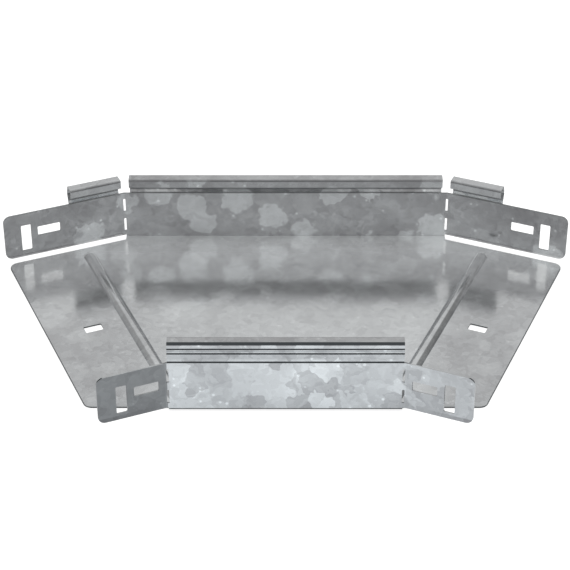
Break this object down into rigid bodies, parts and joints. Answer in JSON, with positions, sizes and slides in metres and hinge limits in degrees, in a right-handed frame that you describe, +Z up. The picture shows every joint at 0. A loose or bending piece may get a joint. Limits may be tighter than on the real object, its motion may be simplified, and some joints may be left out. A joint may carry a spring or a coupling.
{
  "type": "cable tray bend",
  "caption": "Flat 45 degree bend for a galvanised steel cable tray, open at the top, with rolled edges, slotted joining tabs and pressed floor ribs.",
  "frame": {"origin": "on the flat underside, midway between the outer faces of the two side walls and midway between the two ends", "axes": "+Z up, out of the open top; +X to the right along the walls; +Y towards the longer back wall, so both ends turn towards -Y"},
  "size_m": [0.3834, 0.2192, 0.05],
  "materials": {
    "galvanised_steel": "hot-dip galvanised, with soft spangle"
  },
  "bodies": {
    "root": {"tray_bend": "galvanised_steel"}
  },
  "joints": []
}
